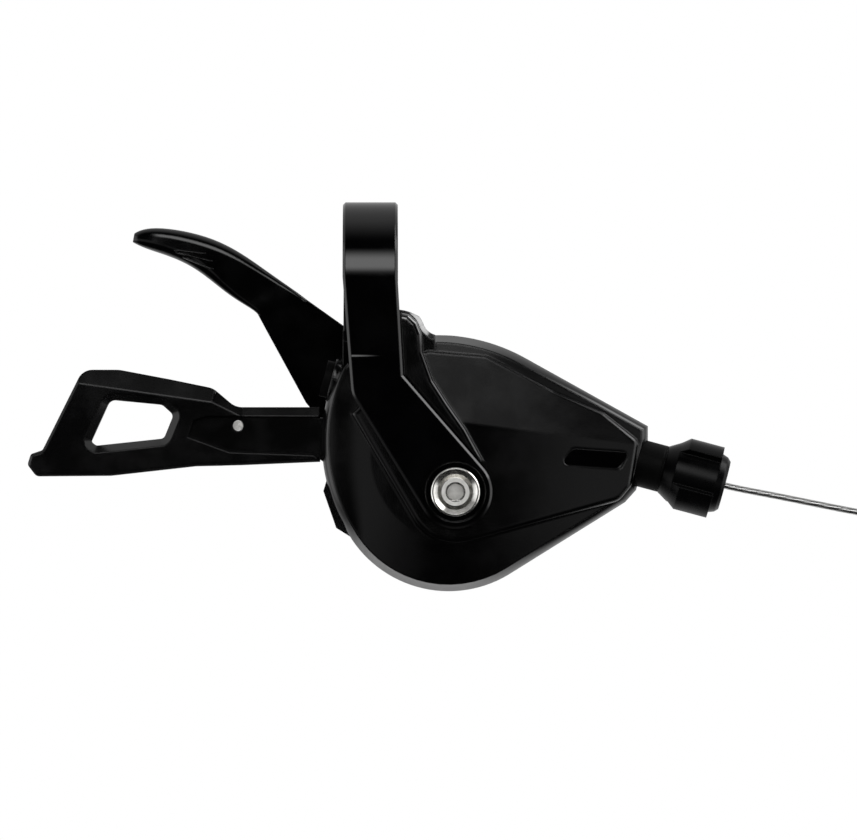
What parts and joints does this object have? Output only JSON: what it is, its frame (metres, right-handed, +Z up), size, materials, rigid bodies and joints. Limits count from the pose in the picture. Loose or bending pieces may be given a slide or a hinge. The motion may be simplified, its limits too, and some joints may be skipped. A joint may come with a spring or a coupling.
{
  "type": "bicycle trigger gear shifter",
  "caption": "Handlebar-clamped trigger gear shifter with a long thumb lever, a release lever, a covered ratchet spool, a barrel adjuster and a coiled inner cable.",
  "frame": {"origin": "centre of the handlebar clamp's bore", "axes": "+X along the handlebar towards the cable, +Y away from the covered face, +Z up from the cover to the bar"},
  "size_m": [0.1794, 0.0367, 0.0868],
  "materials": {
    "band": "black anodised, satin",
    "bright_steel": "polished",
    "steel": "plain",
    "cover": "smooth black",
    "soft_plug": "matt black",
    "spool": "plain moulded",
    "lever_metal": "black, satin",
    "bearing": "plain moulded",
    "lever": "satin black",
    "knob": "fine grained black",
    "cable": "bright strand",
    "tie": "plain"
  },
  "bodies": {
    "housing": {"clamp_band": "band", "clamp_bolt": "bright_steel", "main_axle": "steel", "axle_washer": "steel", "axle_nut": "steel", "base_plate": "steel", "front_cover": "cover", "rear_cover": "cover", "hub_cap": "cover", "cover_screws": "steel", "port_plug": "soft_plug", "spool_spring": "steel", "pawl_pin": "steel", "holding_spring": "steel", "lever_spring": "steel", "release_spring": "steel", "adjuster_bush": "cover", "adjuster_washer": "bearing", "inner_wire": "cable", "cable_run": "cable", "cable_coil": "cable", "coil_tie": "tie"},
    "spool": {"cable_spool": "spool", "ratchet_ring": "steel", "cable_head": "steel"},
    "holding_pawl": {"holding_pawl": "steel"},
    "main_lever": {"main_lever_plate": "lever_metal", "lever_bush": "bearing", "main_lever_pad": "lever", "lever_rivet": "bright_steel", "drive_pawl_pin": "steel", "drive_spring": "steel"},
    "drive_pawl": {"drive_pawl": "steel"},
    "release_lever": {"release_lever": "lever", "release_cam": "steel"},
    "adjuster": {"adjuster_knob": "knob"}
  },
  "joints": [
    {"name": "main_lever_swing", "type": "hinge", "parent": "housing", "child": "main_lever", "pos_m": [0.0152, 0, -0.0383], "axis": [0, -1, 0], "range_deg": [0, 45], "stiffness_Nm_per_rad": 0.12, "springref_deg": -34.38},
    {"name": "release_lever_swing", "type": "hinge", "parent": "housing", "child": "release_lever", "pos_m": [0.0152, 0, -0.0383], "axis": [0, -1, 0], "range_deg": [-10, 10], "stiffness_Nm_per_rad": 0.5},
    {"name": "spool_turn", "type": "hinge", "parent": "housing", "child": "spool", "pos_m": [0.0152, 0, -0.0383], "axis": [0, -1, 0], "range_deg": [0, 150], "stiffness_Nm_per_rad": 0.05, "springref_deg": -34.38},
    {"name": "holding_pawl_tilt", "type": "hinge", "parent": "housing", "child": "holding_pawl", "pos_m": [0.0356, 0, -0.04117], "axis": [0, -1, 0], "range_deg": [0, 10]},
    {"name": "drive_pawl_tilt", "type": "hinge", "parent": "main_lever", "child": "drive_pawl", "pos_m": [0.01298, 0, -0.02024], "axis": [0, -1, 0], "range_deg": [0, 12]},
    {"name": "adjuster_turn", "type": "hinge", "parent": "housing", "child": "adjuster", "pos_m": [0.04767, -0.0043, -0.03302], "axis": [0.9659, 0, -0.2588], "range_deg": [-720, 720]}
  ]
}
